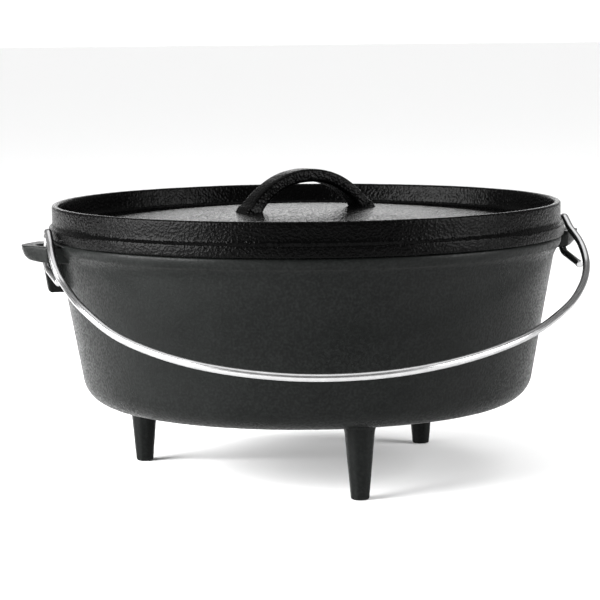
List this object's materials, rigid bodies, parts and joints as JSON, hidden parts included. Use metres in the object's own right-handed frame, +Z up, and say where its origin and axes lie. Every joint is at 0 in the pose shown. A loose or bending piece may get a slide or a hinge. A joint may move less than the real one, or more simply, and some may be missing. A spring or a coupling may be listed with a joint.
{
  "type": "cast iron camp dutch oven",
  "caption": "Round cast iron camp oven: pot on tapered legs, flanged domed lid with an arched grip, and a swinging wire bail hooked through side ears.",
  "frame": {"origin": "middle of the standing plane below the box of the oven at rest, with the bail lowered to the front", "axes": "+Z up, X from ear to ear, -Y towards the lowered bail"},
  "size_m": [0.3702, 0.3615, 0.1966],
  "materials": {
    "pot_iron": "satin seasoned black",
    "lid_iron": "semi-gloss seasoned black with sand-cast grain",
    "bail_steel": "bright drawn wire"
  },
  "bodies": {
    "pot": {"pot": "pot_iron"},
    "lid": {"lid": "lid_iron"},
    "bail": {"bail": "bail_steel"}
  },
  "joints": [
    {"name": "lid_lift", "type": "slide", "parent": "pot", "child": "lid", "axis": [0, 0, 1], "range_m": [0, 0.012]},
    {"name": "bail_swing", "type": "hinge", "parent": "pot", "child": "bail", "pos_m": [0, -0.0035, 0.147], "axis": [-1, 0, 0], "range_deg": [0, 120]}
  ]
}
